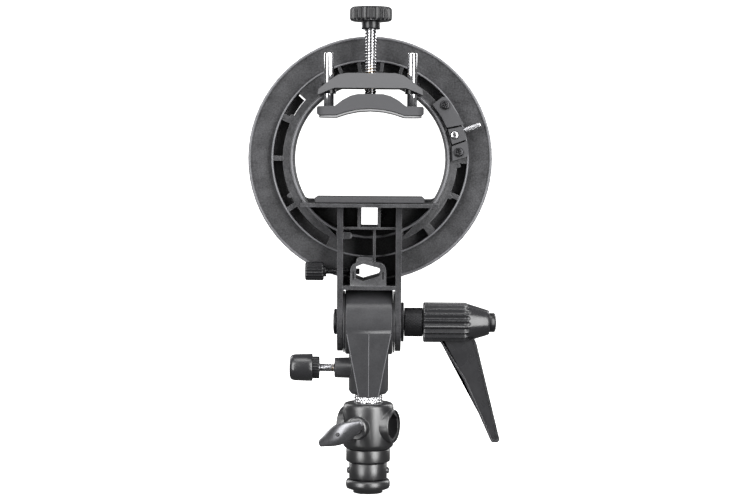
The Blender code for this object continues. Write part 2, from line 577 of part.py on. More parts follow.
def tilt_block():
    """The moulded tilt block: pivot barrel, stand socket, shields and lock boss."""
    at = (0, 0, PIVOT_Z)
    block = rod("tilt_block", BARREL_R, -BARREL_HALF_X, BARREL_HALF_X, at, "X", 0.8, 40)
    socket = [(0, 100), (SOCKET_R, 100), (SOCKET_R, 63.4), (SOCKET_R - 1.4, 61.4), (0, 61.4)]
    join(block, turned("socket_tube", socket, steps=32))
    shield = [(-13.4, 103), (13.4, 103), (13.4, 100.6), (5.9, 60.4), (-5.9, 60.4), (-13.4, 100.6)]
    flank = [(-19.7, 103), (19.7, 103), (19.7, 100), (13.6, 60), (-13.6, 60), (-19.7, 100)]
    front = prism("shield", [shield], -25, 25)
    combine(front, prism("shield_flank", [flank], -20, 20, axis="X"), "INTERSECT")
    join(block, front)
    boss = [(0, -7), (6.6, -7), (6.2, -20.6), (5.8, -21.1), (0, -21.1)]
    lock_at = (0, 0, LOCK_Z)
    join(block, turned("lock_boss", boss, lock_at, "X", 20))
    cut(block, rod("spigot_bore", SPIGOT_R + 0.3, 55, 91, steps=24))
    cut(block, rod("bolt_bore", BOLT_R + GAP, -30, 30, at, "X"))
    cut(block, rod("lock_bore", 3.1, -30, -5, lock_at, "X"))
    cut(block, rod("insert_bore", 4.5, -30, -13.2, lock_at, "X"))
    swivel = joint_empty("pan_axis", (0, 0, 60.1))
    pieces = [dress(block, "black_abs")]
    pieces.append(dress(sleeve("boss_insert", 2.9, 4.2, -20.9, -13.5, lock_at, "X", 16), "brass"))
    for side, word in ((-1, "left"), (1, "right")):
        start, end = sorted((side * 14.9, side * 15.7))
        washer = sleeve(f"friction_washer_{word}", 4.5, WASHER_R, start, end, at, "X", 24)
        pieces.append(dress(washer, "black_rubber"))
    hang(swivel, *pieces)
    lock_axis = joint_empty("stand_lock_axis", lock_at)
    tip = dress(rod("stand_lock_tip", 2.4, -10.3, -8.4, lock_at, "X", 0.3, 16), "brass")
    stud = dress(rod("lock_stud", 2.65, -43.0, -10.6, lock_at, "X", 0.4, 12), "zinc_steel")
    core = [(2.95, -30.4), (6.4, -30.4), (6.8, -30.8), (6.8, -34.4), (5.0, -34.4), (5.0, -44.0),
            (2.95, -44.0)]
    core_piece = dress(turned("lock_core", core, lock_at, "X", 20), "black_knob")
    cap = [(0, -44.3), (5.3, -44.3), (5.3, -34.7), (8.0, -34.7), (8.4, -35.3), (8.4, -46.9),
           (7.2, -48.6), (0, -48.8)]
    cap_piece = dress(turned("lock_cap", cap, lock_at, "X", 24), "satin_nylon")
    hang(lock_axis, tip, stud, core_piece, cap_piece)


def across(angle):
    """A rotation that lays local Z along a level direction, at an angle from +X."""
    return (0, math.radians(90), angle)


def stand_head():
    """The cast stand head with its cross sockets, wing screw, collar, sleeve, riser tube and spigot."""
    body = [(0, 55.9), (13.2, 55.9), (14.6, 55.4), (15.4, 54.4)]
    body += [(15.65, 53.0), (15.65, 30.6), (15.3, 29.0), (14.2, 27.9), (0, 27.9)]
    casting = turned("head_casting", body, steps=36)
    cross_at, wing_at = (0, 0, CROSS_Z), (0, 0, WING_Z)
    right, wing = -CROSS_TURN, math.radians(-90) - CROSS_TURN
    join(casting, rod("cross_tube", CROSS_R, -CROSS_REACH, CROSS_REACH, cross_at, chamfer=0.4, steps=28,
                      turn=across(right)))
    join(casting, rod("wing_boss", 7.0, 2, 20, wing_at, chamfer=0.8, steps=20, turn=across(wing)))
    cut(casting, rod("spigot_seat", SPIGOT_R + 0.3, 30, 60, steps=24))
    cut(casting, rod("riser_seat", 9.5, 20, 33.2, steps=24))
    cut(casting, rod("wing_thread", 4.1, 3, 30, wing_at, turn=across(wing)))
    for side, word in ((1, "right"), (-1, "left")):
        turn = across(right + (0 if side > 0 else math.pi))
        cut(casting, rod(f"cross_bore_{word}", 9.6, 9.8, 30, cross_at, steps=24, turn=turn))
        bush = rod(f"socket_bush_{word}", 9.3, 10.1, CROSS_REACH - 0.6, cross_at, steps=24, turn=turn)
        hole = rod(f"hex_hole_{word}", 8.2, 5, 30, cross_at, steps=6, turn=turn)
        cut(bush, hole)
        dress(bush, "black_enamel")
    dress(casting, "black_enamel")
    spigot = [(0, 90), (6.8, 90), (SPIGOT_R, 88.8), (SPIGOT_R, 60.1), (8.6, 60.1), (8.95, 59.7),
              (8.95, 56.6), (8.6, 56.2), (SPIGOT_R, 56.2), (SPIGOT_R, 34.9), (0, 34.9)]
    dress(turned("spigot", spigot, steps=24), "chrome")
    collar = [(13.2, 27.6), (13.65, 27.0), (13.65, 20.0), (13.2, 19.4), (9.4, 19.4), (9.4, 27.6)]
    dress(turned("head_collar", collar, steps=28), "black_enamel")
    tube = sleeve("head_sleeve", 9.4, 11.75, 8.8, 19.1, steps=28)
    bead = [(13.0, 8.3), (13.7, 7.2), (13.7, 3.6), (13.0, 2.5), (9.4, 2.5), (9.4, 8.3)]
    dress(turned("bottom_bead", bead, steps=28), "black_enamel")
    riser = sleeve("riser_tube", 7.9, 9.1, 0, 32.9, steps=28)
    rivet_at = (0, 0, 13.6)
    for index, piece in enumerate((tube, riser)):
        cut(piece, rod(f"rivet_hole_{index}", 2.2, -20, 20, rivet_at, "X", steps=16))
        dress(piece, "black_enamel")
    head = [(0, 13.3), (1.6, 13.0), (2.35, 12.1), (1.9, 11.9), (1.9, -11.9), (2.35, -12.1),
            (1.6, -13.0), (0, -13.3)]
    dress(turned("cross_rivet", head, rivet_at, "X", 12), "chrome")
    turn = across(wing)
    wing_axis = joint_empty("wing_axis", wing_at)
    tip = dress(rod("wing_tip", 3.2, 8.4, 10.3, wing_at, chamfer=0.3, steps=12, turn=turn), "brass")
    stud = dress(rod("wing_stud", 3.8, 10.6, 45.0, wing_at, chamfer=0.4, steps=12, turn=turn), "zinc_steel")
    handle = turned("wing_handle", [(0, 47.4), (4.4, 47.4), (6.0, 46.0), (6.0, 33.0),
                                    (4.1, 33.0), (4.1, 45.3), (0, 45.3)], wing_at, steps=20, turn=turn)
    lens = [(-16, -1.9), (-10, -3.8), (-4, -5.6), (4, -5.6), (10, -3.8), (16, -1.9), (16, 1.9),
            (10, 3.8), (4, 5.6), (-4, 5.6), (-10, 3.8), (-16, 1.9)]
    face = Matrix.Rotation(wing, 4, "Z") @ Matrix.Rotation(math.radians(90), 4, "Y")
    face = face @ Matrix.Rotation(math.radians(90) - WING_TILT, 4, "Z")
    blade = prism("wing_blade", [lens], 38.5, 46.6, wing_at, turn=face)
    cut(blade, rod("blade_bore", 4.6, 30, 45.2, wing_at, turn=turn))
    join(handle, blade)
    hang(wing_axis, tip, stud, dress(handle, "satin_casting"))


ring_frame()
mount_plate()
base_pad()
clamp_bridge()
clamp_jaw()
latch()
umbrella_lock()
pivot()
tilt_block()
stand_head()
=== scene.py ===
"""Umbrella swivel bracket: the visible pieces and their finishes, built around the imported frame.

Lengths in this file are millimetres and are turned into metres when a mesh is made.
The ring and the clamp face -Y, the tilt lever is on +X and the stand's riser stands at the origin.
"""

import logging
import math
from dataclasses import dataclass
from enum import Enum
from typing import Callable, Optional, Sequence

import bmesh
import bpy
from mathutils import Matrix, Vector


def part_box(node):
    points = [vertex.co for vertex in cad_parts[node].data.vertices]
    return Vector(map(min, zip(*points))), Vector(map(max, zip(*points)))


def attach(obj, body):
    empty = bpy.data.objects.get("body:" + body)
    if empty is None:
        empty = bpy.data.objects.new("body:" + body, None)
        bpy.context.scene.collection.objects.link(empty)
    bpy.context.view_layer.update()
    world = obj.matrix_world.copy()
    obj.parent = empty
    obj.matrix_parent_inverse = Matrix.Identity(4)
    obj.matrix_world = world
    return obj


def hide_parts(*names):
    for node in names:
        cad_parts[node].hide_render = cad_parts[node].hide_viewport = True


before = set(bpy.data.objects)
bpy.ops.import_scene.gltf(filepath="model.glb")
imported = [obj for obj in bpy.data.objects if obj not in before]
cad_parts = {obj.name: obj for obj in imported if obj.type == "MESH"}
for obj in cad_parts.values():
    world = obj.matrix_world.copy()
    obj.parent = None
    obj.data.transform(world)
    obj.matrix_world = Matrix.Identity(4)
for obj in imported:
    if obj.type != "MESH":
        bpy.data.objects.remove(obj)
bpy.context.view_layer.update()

LOG = logging.getLogger("umbrella_swivel_bracket")
MM = 0.001
FULL_TURN = 2.0 * math.pi

PATCH_MM = 9.0  # size of the patches in which a finish's colour and gloss vary
GRAIN_SHARE = 0.7  # how much of that variation follows the grain, and the rest the patches
DARKEST, PALEST = 0.28, 0.72  # noise values that take the two ends of the colour
FLAT, SHARP = 0.995, 0.86  # cosines at an edge that takes none of the painted highlight and one that takes all of it
GLOSS_SWING = 0.14  # share by which the roughness varies
WELD_MM = 0.002  # vertices closer than this are one
FLAT_DEGREES = 0.6  # faces that meet at less than this are joined

Point2 = tuple[float, float]
Profile = Sequence[Point2]
Shape = bmesh.types.BMesh
Piece = bpy.types.Object
Warp = Callable[[float, float, float], Point2]


class Axis(Enum):
    """The way a turned or extruded shape points: its own +Z is laid along this."""

    X = (1.0, 0.0, 0.0)
    MINUS_X = (-1.0, 0.0, 0.0)
    MINUS_Y = (0.0, -1.0, 0.0)
    Y = (0.0, 1.0, 0.0)
    Z = (0.0, 0.0, 1.0)


class Drive(Enum):
    """The recess in a screw's head."""

    CROSS = "cross"
    HEXAGON = "hexagon"


# ---------------------------------------------------------------- finishes


def linear(hex_colour: str) -> tuple[float, float, float, float]:
    """Turn an sRGB hex colour into linear RGBA.

    Args:
        hex_colour: six hexadecimal digits with a leading hash.

    Returns:
        Linear red, green and blue, and an alpha of one.
    """
    values = [int(hex_colour[i : i + 2], 16) / 255.0 for i in (1, 3, 5)]
    red, green, blue = (
        v / 12.92 if v <= 0.04045 else ((v + 0.055) / 1.055) ** 2.4 for v in values
    )
    return red, green, blue, 1.0


def add_node(
    tree: bpy.types.NodeTree,
    kind: str,
    settings: Optional[dict] = None,
    links: Optional[dict] = None,
) -> bpy.types.Node:
    """Add one shader node with its settings and links.

    Args:
        tree: the material's node tree.
        kind: the node's type name.
        settings: values by input name or index, or by attribute name.
        links: the output socket that feeds each input, by input name or index.

    Returns:
        The new node.
    """
    node = tree.nodes.new(kind)
    for key, value in (settings or {}).items():
        if isinstance(key, int) or key in node.inputs:
            node.inputs[key].default_value = value
        else:
            setattr(node, key, value)
    for key, socket in (links or {}).items():
        tree.links.new(socket, node.inputs[key])
    return node


@dataclass(frozen=True)
class Finish:
    """A moulded or coated surface: one colour with grain, mottling and a painted highlight along
    its edges.

    Attributes:
        name: the material's name.
        colour: sRGB hex of the body colour.
        edge_highlight: sRGB hex of the paler colour painted along edges as a highlight.
        roughness: mean roughness.
        grain_mm: size of one grain of the surface texture.
        grain_depth_mm: height of that grain.
        mottle: share by which the colour varies from place to place.
        highlight_share: how strongly the edges take that painted highlight.
        edge_mm: radius to which edges look rounded.
        metallic: 1 for a bare metal, less under a dark film.
        ior: index of refraction, left at the default for a metal.
    """

    name: str
    colour: str
    edge_highlight: str
    roughness: float
    grain_mm: float
    grain_depth_mm: float
    mottle: float = 0.12
    highlight_share: float = 0.5
    edge_mm: float = 0.25
    metallic: float = 0.0
    ior: float = 1.5

    def build(self) -> bpy.types.Material:
        """Make the material, or return it if it is already made.

        Returns:
            The finished material.
        """
        found = bpy.data.materials.get(self.name)
        if found:
            return found
        made = bpy.data.materials.new(self.name)
        made.use_nodes = True
        tree = made.node_tree
        shader = tree.nodes["Principled BSDF"]
        place = add_node(tree, "ShaderNodeTexCoord").outputs["Object"]
        fine = {"Scale": 1.0 / (self.grain_mm * MM), "Detail": 3.0, "Roughness": 0.6}
        grain = add_node(tree, "ShaderNodeTexNoise", fine, {"Vector": place})
        broad = {"Scale": 1.0 / (PATCH_MM * MM), "Detail": 2.0}
        patches = add_node(tree, "ShaderNodeTexNoise", broad, {"Vector": place})
        weigh = {"operation": "MULTIPLY_ADD", 1: GRAIN_SHARE}
        blend = add_node(tree, "ShaderNodeMath", weigh, {0: grain.outputs["Fac"]})
        rest = {"operation": "MULTIPLY", 1: 1.0 - GRAIN_SHARE}
        share = add_node(tree, "ShaderNodeMath", rest, {0: patches.outputs["Fac"]})
        tree.links.new(share.outputs[0], blend.inputs[2])
        base = linear(self.colour)
        dark = tuple(c * (1.0 - 2.0 * self.mottle) for c in base[:3]) + (1.0,)
        light = tuple(c * (1.0 + 2.0 * self.mottle) for c in base[:3]) + (1.0,)
        colours = add_node(tree, "ShaderNodeValToRGB", None, {"Fac": blend.outputs[0]})
        colours.color_ramp.elements[0].position = DARKEST
        colours.color_ramp.elements[0].color = dark
        colours.color_ramp.elements[1].position = PALEST
        colours.color_ramp.elements[1].color = light
        radius = {"samples": 4, "Radius": self.edge_mm * MM}
        rounded = add_node(tree, "ShaderNodeBevel", radius)
        face = add_node(tree, "ShaderNodeNewGeometry").outputs["Normal"]
        normals = {0: rounded.outputs["Normal"], 1: face}
        # At an edge the rounded normal turns away from the face's own, and there the colour is
        # mixed toward the paler one: a painted highlight.
        edge = add_node(tree, "ShaderNodeVectorMath", {"operation": "DOT_PRODUCT"}, normals)
        reach = {"From Min": FLAT, "From Max": SHARP, "To Min": 0.0, "To Max": self.highlight_share}
        highlight_share = add_node(tree, "ShaderNodeMapRange", reach, {"Value": edge.outputs["Value"]})
        edge_highlight = {"data_type": "RGBA", 7: linear(self.edge_highlight)}
        shares = {0: highlight_share.outputs[0], 6: colours.outputs["Color"]}
        colour = add_node(tree, "ShaderNodeMix", edge_highlight, shares)
        least = self.roughness * (1.0 - GLOSS_SWING)
        most = min(1.0, self.roughness * (1.0 + GLOSS_SWING))
        swing = {"From Min": 0.3, "From Max": 0.7, "To Min": least, "To Max": most}
        rough = add_node(tree, "ShaderNodeMapRange", swing, {"Value": patches.outputs["Fac"]})
        depth = {"Strength": 1.0, "Distance": self.grain_depth_mm * MM}
        surface = {"Height": grain.outputs["Fac"], "Normal": rounded.outputs["Normal"]}
        bump = add_node(tree, "ShaderNodeBump", depth, surface)
        tree.links.new(colour.outputs[2], shader.inputs["Base Color"])
        tree.links.new(rough.outputs[0], shader.inputs["Roughness"])
        tree.links.new(bump.outputs["Normal"], shader.inputs["Normal"])
        shader.inputs["Metallic"].default_value = self.metallic
        shader.inputs["IOR"].default_value = self.ior
        return made


# The grain of moulded plastics is usually under 0.4 mm. In the finishes below it is drawn at
# 0.7 to 1 mm, so that it shows, and the haze on metals and enamel is drawn coarser too.

# Spark-eroded ABS: dull, with an even speckle and a painted highlight along its edges.
ERODED_ABS = Finish(
    "spark_eroded_abs", "#353537", "#9a9a9d", 0.44, 0.95, 0.09, 0.42, 0.7
)
# The same ABS painted paler, as a painted highlight on the beads at the rim, inside the flange and
# round the aperture, and on the shield's seams.
ABS_EDGE_HIGHLIGHT = Finish("abs_painted_edge_highlight", "#6a6a6d", "#b4b4b8", 0.34, 0.9, 0.01, 0.15, 0.5)
# Moulded ABS of the tilt block: the same stock, smoother and a little glossier.
MOULDED_ABS = Finish(
    "moulded_abs", "#3a3a3c", "#9a9a9d", 0.34, 1.0, 0.012, 0.12, 0.6
)
# Glass-filled nylon: lighter, and the fibres at the skin make it grainy.
GLASS_NYLON = Finish(
    "glass_filled_nylon", "#373739", "#8c8c8f", 0.48, 1.0, 0.09, 0.42, 0.4
)
# Smooth moulded nylon: an even grey with a satin shine along its curves.
SATIN_NYLON = Finish("satin_nylon", "#28282a", "#9a9a9d", 0.3, 0.9, 0.006, 0.08, 0.6)
# Glossier nylon of the lever and lock cap: the same grey, with a long soft highlight.
LEVER_NYLON = Finish(
    "polished_nylon", "#28282a", "#8a8a8d", 0.27, 0.9, 0.005, 0.08, 0.6, 0.25, 0.0, 1.6
)
# Phenolic knobs: near black, with a slight gloss on each flute.
KNOB_PHENOLIC = Finish("knob_phenolic", "#1b1b1d", "#6a6a6e", 0.3, 0.7, 0.006, 0.1, 0.5)
# Rubber sheet: dull and dark, with the fine pits of a pressed sheet.
BLACK_RUBBER = Finish("black_rubber_sheet", "#3c3c3e", "#585859", 0.74, 0.9, 0.04, 0.2, 0.3)
# Pale rubber under the jaw, which shows as a light line.
PALE_RUBBER = Finish("pale_rubber_sheet", "#8b8b8c", "#9c9c9d", 0.7, 0.7, 0.02, 0.06, 0.3)
# Chrome plate: mirror bright, with the faintest polishing haze.
CHROME = Finish(
    "chrome_plate", "#dcdcde", "#f0f0f2", 0.09, 0.6, 0.0008, 0.02, 0.2, 0.1, 1.0
)
# Zinc-plated steel: a bright metal with a soft, patchy haze.
ZINC_STEEL = Finish(
    "zinc_plated_steel", "#bcbcbf", "#e2e2e4", 0.24, 0.5, 0.003, 0.08, 0.3, 0.1, 1.0
)
# Die-cast zinc alloy, tumbled: satin, with a slightly lumpy skin.
DIE_CAST = Finish(
    "tumbled_die_casting", "#77777a", "#c0c0c3", 0.36, 1.2, 0.02, 0.12, 0.5, 0.4, 0.9
)
# Turned brass, seen only at two screw tips and in the threaded inserts.
TURNED_BRASS = Finish(
    "turned_brass", "#a98a4c", "#d8bd82", 0.3, 0.4, 0.004, 0.08, 0.3, 0.1, 1.0
)
# Stoved gloss enamel: almost black, with soft broad highlights and faint orange peel.
GLOSS_ENAMEL = Finish(
    "stoved_gloss_enamel", "#19191b", "#6a6a6c", 0.36, 1.8, 0.008, 0.1, 0.5, 0.35, 0.0, 1.9
)
# Blackened steel: dark, with a low metallic shine.
BLACK_STEEL = Finish(
    "blackened_steel", "#2b2b2d", "#9a9a9c", 0.32, 0.5, 0.004, 0.12, 0.6, 0.15, 0.7
)


# ---------------------------------------------------------------- shapes


def placing(at: Sequence[float], axis: Sequence[float], turn: float = 0.0) -> Matrix:
    """The matrix that lays a shape's own +Z along an axis through a point.

    Args:
        at: the point, in millimetres.
        axis: the direction.
        turn: a turn about that axis first, in radians.

    Returns:
        A matrix from shape millimetres to row metres.
    """
    spin = Vector(axis).to_track_quat("Z", "Y").to_matrix().to_4x4()
    scaled = Matrix.Scale(MM, 4) @ Matrix.Translation(Vector(at))
    return scaled @ spin @ Matrix.Rotation(turn, 4, "Z")


def revolved(profile: Profile, steps: int = 64, warp: Optional[Warp] = None) -> Shape:
    """Turn a profile about +Z into a closed body.

    Args:
        profile: radius and height pairs; a radius of nought closes an end.
        steps: number of divisions round the axis.
        warp: takes a radius, a height and an angle, and gives the new radius and height.

    Returns:
        The body, in millimetres.
    """
    body = bmesh.new()
    rows = []
    for radius, height in profile:
        if radius == 0.0:
            high = warp(0.0, height, 0.0)[1] if warp else height
            rows.append([body.verts.new((0.0, 0.0, high))])
            continue
        row = []
        for step in range(steps):
            angle = FULL_TURN * step / steps
            r, h = warp(radius, height, angle) if warp else (radius, height)
            row.append(body.verts.new((r * math.cos(angle), r * math.sin(angle), h)))
        rows.append(row)
    pairs = list(zip(rows, rows[1:]))
    if len(rows[0]) > 1:
        pairs.append((rows[-1], rows[0]))
    for low, high in pairs:
        for step in range(steps):
            after = (step + 1) % steps
            if len(low) == 1:
                body.faces.new((low[0], high[after], high[step]))
            elif len(high) == 1:
                body.faces.new((low[step], low[after], high[0]))
            else:
                body.faces.new((low[step], low[after], high[after], high[step]))
    bmesh.ops.recalc_face_normals(body, faces=body.faces)
    return body


def finer(profile: Profile, longest: float) -> list[Point2]:
    """Divide a profile's long spans.

    Args:
        profile: radius and height pairs.
        longest: the longest span to leave, in millimetres.

    Returns:
        The profile with points added along its spans.
    """
    points = [profile[0]]
    for start, end in zip(profile, profile[1:]):
        count = max(1, math.ceil(math.dist(start, end) / longest))
        for step in range(1, count + 1):
            t = step / count
            across = start[0] + (end[0] - start[0]) * t
            points.append((across, start[1] + (end[1] - start[1]) * t))
    return points


def extruded(outline: Profile, low: float, high: float) -> Shape:
    """Raise a flat outline into a prism along +Z.

    Args:
        outline: corner points in order.
        low: height of the lower face.
        high: height of the upper face.

    Returns:
        The prism, in millimetres.
    """
    body = bmesh.new()
    bottom = [body.verts.new((x, y, low)) for x, y in outline]
    top = [body.verts.new((x, y, high)) for x, y in outline]
    body.faces.new(bottom)
    body.faces.new(top)
    for index in range(len(outline)):
        after = (index + 1) % len(outline)
        body.faces.new((bottom[index], bottom[after], top[after], top[index]))
    bmesh.ops.recalc_face_normals(body, faces=body.faces)
    return body


def filleted(outline: Profile, radius: float, steps: int = 4) -> list[Point2]:
    """Round the corners of an outline.

    Args:
        outline: corner points in order.
        radius: the most that each corner is rounded by.
        steps: divisions of each rounded corner.

    Returns:
        The outline with a short curve at each corner.
    """
    points = []
    for index, corner in enumerate(outline):
        here = Vector(corner)
        before = Vector(outline[index - 1]) - here
        after = Vector(outline[(index + 1) % len(outline)]) - here
        reach = min(radius, before.length * 0.45, after.length * 0.45)
        start = here + before.normalized() * reach
        end = here + after.normalized() * reach
        for step in range(steps + 1):
            t = step / steps
            spot = start * (1 - t) ** 2 + here * 2 * t * (1 - t) + end * t * t
            points.append((spot.x, spot.y))
    return points


def flutes(count: int, depth: float, least: float, sharp: float = 1.0) -> Warp:
    """A warp that presses grooves along the outside of a turned body.

    Args:
        count: number of grooves.
        depth: depth of each groove.
        least: only radii above this are grooved.
        sharp: above one, narrower grooves.

    Returns:
        The warp.
    """

    def warp(radius: float, height: float, angle: float) -> Point2:
        """Press the groove in at this angle."""
        if radius < least:
            return radius, height
        wave = (0.5 + 0.5 * math.cos(count * angle)) ** sharp
        return radius - depth * wave, height

    return warp


def knurl(count: int, depth: float, least: float, lead: float) -> Warp:
    """A warp that presses crossed grooves into a turned body.

    Args:
        count: grooves each way round.
        depth: depth of the grooves.
        least: only radii above this are knurled.
        lead: height of one full wave along the body; nought gives straight grooves.

    Returns:
        The warp.
    """

    def warp(radius: float, height: float, angle: float) -> Point2:
        """Press both grooves in at this place."""
        if radius < least:
            return radius, height
        slope = FULL_TURN * height / lead if lead else 0.0
        first = abs(math.cos(0.5 * (count * angle + slope)))
        second = abs(math.cos(0.5 * (count * angle - slope)))
        return radius - depth * max(first, second) ** 2, height

    return warp


def threaded_rod(
    radius: float, pitch: float, depth: float, low: float, high: float, steps: int = 28
) -> Shape:
    """A right-handed threaded rod along +Z with chamfered ends.

    Args:
        radius: over the crests.
        pitch: height of one turn.
        depth: of the thread.
        low: height of the lower end.
        high: height of the upper end.
        steps: divisions round the axis.

    Returns:
        The rod, in millimetres.
    """
    rows_per_turn = 6
    rows = int((high - low) / pitch * rows_per_turn)
    profile = [(0.0, low), (radius - 1.1 * depth, low)]
    profile += [(radius, low + 0.3 + (high - low - 0.6) * i / rows) for i in range(rows + 1)]
    profile += [(radius - 1.1 * depth, high), (0.0, high)]

    def warp(r: float, height: float, angle: float) -> Point2:
        """Cut the thread, which runs out at each end."""
        if r < radius:
            return r, height
        phase = (height / pitch - angle / FULL_TURN) % 1.0
        crest = 1.0 - abs(2.0 * phase - 1.0)
        run_out = min(1.0, (height - low) / pitch, (high - height) / pitch)
        return radius - depth * (1.0 - crest * run_out), height

    return revolved(profile, steps, warp)


def screw_head(radius: float, height: float, drive: Drive) -> Shape:
    """A domed screw head whose underside is at nought, with its recess in the top.

    Args:
        radius: of the head.
        height: of the head.
        drive: kind of recess.

    Returns:
        The head, in millimetres.
    """
    rings = 14
    profile = [(0.0, 0.0), (radius * 0.96, 0.0), (radius, height * 0.15), (radius, height * 0.45)]
    for ring in range(rings):
        share = 1.0 - ring / rings
        dome = height * (0.62 + 0.38 * math.sqrt(max(0.0, 1.0 - share**2)))
        profile.append((radius * share * 0.985, dome))
    profile.append((0.0, height))
    arm, reach = radius * 0.16, radius * 0.62

    def warp(r: float, h: float, angle: float) -> Point2:
        """Sink the recess into the top."""
        if h < height * 0.5:
            return r, h
        x, y = abs(r * math.cos(angle)), abs(r * math.sin(angle))
        if drive is Drive.CROSS:
            inside = (x < arm and y < reach) or (y < arm and x < reach)
        else:
            turn = angle % (math.pi / 3) - math.pi / 6
            inside = r * math.cos(turn) < radius * 0.48
        return (r, h - height * 0.42) if inside else (r, h)

    return revolved(profile, warp=warp)


def meshed(name: str, body: Shape) -> bpy.types.Mesh:
    """Turn a shape into a mesh and use the shape up.

    Args:
        name: the mesh's name.
        body: the shape.

    Returns:
        The mesh.
    """
    mesh = bpy.data.meshes.new(name)
    body.to_mesh(mesh)
    body.free()
    return mesh


def linked(name: str, data: bpy.types.ID) -> Piece:
    """Make an object and link it into the scene.

    Args:
        name: the object's name.
        data: its mesh, light or camera.

    Returns:
        The new object.
    """
    obj = bpy.data.objects.new(name, data)
    bpy.context.scene.collection.objects.link(obj)
    return obj


def join(body: Shape, other: Shape) -> None:
    """Add another shape to a body and use it up."""
    mesh = meshed("joined", other)
    body.from_mesh(mesh)
    bpy.data.meshes.remove(mesh)


def refine(
    node: str, name: str, ride_on: str, slot: str, finish: Finish, bevel: float,
    segments: int = 2, angle: float = 32.0,
) -> None:
    """Stand a finer copy in a CAD node's place: welded, flat faces joined, edges rounded.

    Args:
        node: the CAD node's name.
        name: the finer piece's name.
        ride_on: the CAD body it rides on.
        slot: the record's material slot.
        finish: its finish.
        bevel: width of the rounded edges.
        segments: divisions across a rounded edge.
        angle: faces that meet at less than this, in degrees, are smooth.
    """
    body = bmesh.new()
    body.from_mesh(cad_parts[node].data)
    bmesh.ops.remove_doubles(body, verts=body.verts, dist=WELD_MM * MM)
    flat = math.radians(FLAT_DEGREES)
    bmesh.ops.dissolve_limit(body, angle_limit=flat, verts=body.verts, edges=body.edges)
    obj = linked(name, meshed(node + "_skin", body))
    soften(obj, bevel, angle, segments)
    dress(obj, ride_on, slot, finish, node)


def soften(obj: Piece, bevel: float, angle: float = 32.0, segments: int = 2) -> None:
    """Shade an object smooth and round its sharp edges.

    Args:
        obj: the object.
        bevel: width of the rounded edges; nought leaves them sharp.
        angle: the least angle of a sharp edge, in degrees.
        segments: divisions across a rounded edge.
    """
    obj.data.shade_smooth()
    obj.data.set_sharp_from_angle(angle=math.radians(angle))
    if bevel > 0.0:
        round_edges(obj, bevel, angle, segments).harden_normals = True


def round_edges(
    obj: Piece, width: float, angle: float, segments: int = 2
) -> bpy.types.Modifier:
    """Round an object's sharp edges.

    Args:
        obj: the object.
        width: of the rounded edges.
        angle: the least angle of a sharp edge, in degrees.
        segments: divisions across a rounded edge.

    Returns:
        The modifier that rounds them.
    """
    rounding = obj.modifiers.new("rounded_edges", "BEVEL")
    rounding.width = width * MM
    rounding.segments = segments
    rounding.limit_method = "ANGLE"
    rounding.angle_limit = math.radians(angle)
    return rounding


def make(name: str, body: Shape, place: Matrix, angle: float = 32.0) -> Piece:
    """Turn a body in millimetres into an object in the row frame.

    Args:
        name: the piece's name.
        body: the shape, which is used up.
        place: from placing().
        angle: the least angle of a sharp edge, in degrees.

    Returns:
        The new object.
    """
    body.transform(place)
    obj = linked(name, meshed(name, body))
    soften(obj, 0.0, angle)
    return obj


def dress(obj: Piece, body: str, slot: str, finish: Finish, *nodes: str) -> None:
    """Give a piece its finish and body.

    Args:
        obj: the piece.
        body: the CAD body it rides on.
        slot: not used.
        finish: its finish.
        nodes: the CAD nodes it stands for.
    """
    obj.data.materials.clear()
    obj.data.materials.append(finish.build())
    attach(obj, body)
    if nodes:
        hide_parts(*nodes)
    LOG.info("%s rides on %s in %s", obj.name, body, finish.name)


def keep(node: str, finish: Finish) -> None:
    """Keep a CAD node as it is and give it a finish."""
    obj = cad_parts[node]
    for place in obj.material_slots:
        place.material = finish.build()
    LOG.info("%s kept in %s", node, finish.name)


# ---------------------------------------------------------------- sub-assemblies


